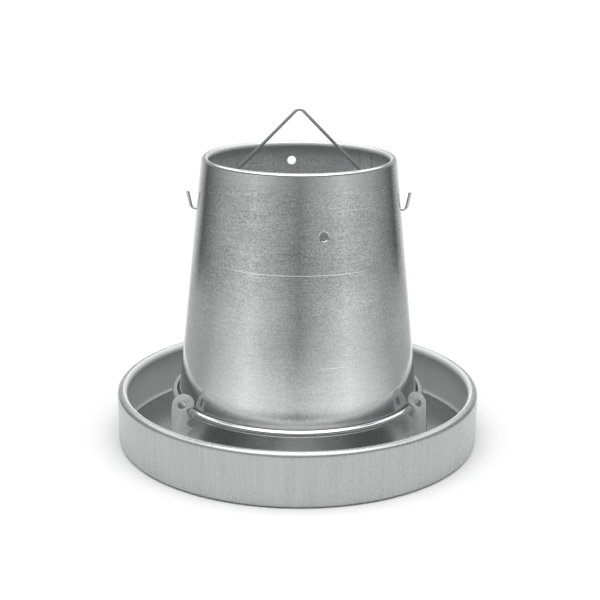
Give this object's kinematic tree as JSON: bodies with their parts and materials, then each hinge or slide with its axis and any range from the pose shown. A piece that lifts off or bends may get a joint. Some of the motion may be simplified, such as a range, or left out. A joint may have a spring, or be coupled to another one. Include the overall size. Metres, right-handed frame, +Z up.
{
  "type": "poultry feeder",
  "caption": "Hanging galvanised poultry feeder: a tapered hopper held over a round feed pan by notched racks, with a swinging wire bail.",
  "frame": {"origin": "on the ground under the middle of the pan, on the axis of the pan and hopper", "axes": "+Z up along the axis of the pan and hopper; +X to the viewer's right, along the bail's pivot line; -Y is the front that the picture shows"},
  "size_m": [0.36, 0.36, 0.3291],
  "materials": {
    "galvanised_pan_sheet": "dull hot-dip galvanised drawn sheet",
    "galvanised_hopper_sheet": "spangled hot-dip galvanised rolled sheet",
    "galvanised_rack_sheet": "stamped galvanised sheet, edges rolled by the die",
    "galvanised_wire": "bright drawn galvanised wire",
    "zinc_rivet": "zinc-plated, dull"
  },
  "bodies": {
    "pan": {"pan": "galvanised_pan_sheet", "rack_back": "galvanised_rack_sheet", "rack_left": "galvanised_rack_sheet", "rack_right": "galvanised_rack_sheet", "rack_back_rivet_1": "zinc_rivet", "rack_back_rivet_2": "zinc_rivet", "rack_left_rivet_1": "zinc_rivet", "rack_left_rivet_2": "zinc_rivet", "rack_right_rivet_1": "zinc_rivet", "rack_right_rivet_2": "zinc_rivet"},
    "hopper": {"hopper": "galvanised_hopper_sheet"},
    "bail": {"bail": "galvanised_wire"}
  },
  "joints": [
    {"name": "hopper_turn", "type": "hinge", "parent": "pan", "child": "hopper", "pos_m": [0, 0, 0.047], "axis": [0, 0, 1], "continuous": true},
    {"name": "bail_swing", "type": "hinge", "parent": "hopper", "child": "bail", "pos_m": [0, 0, 0.2315], "axis": [1, 0, 0], "range_deg": [-78, 78]}
  ]
}
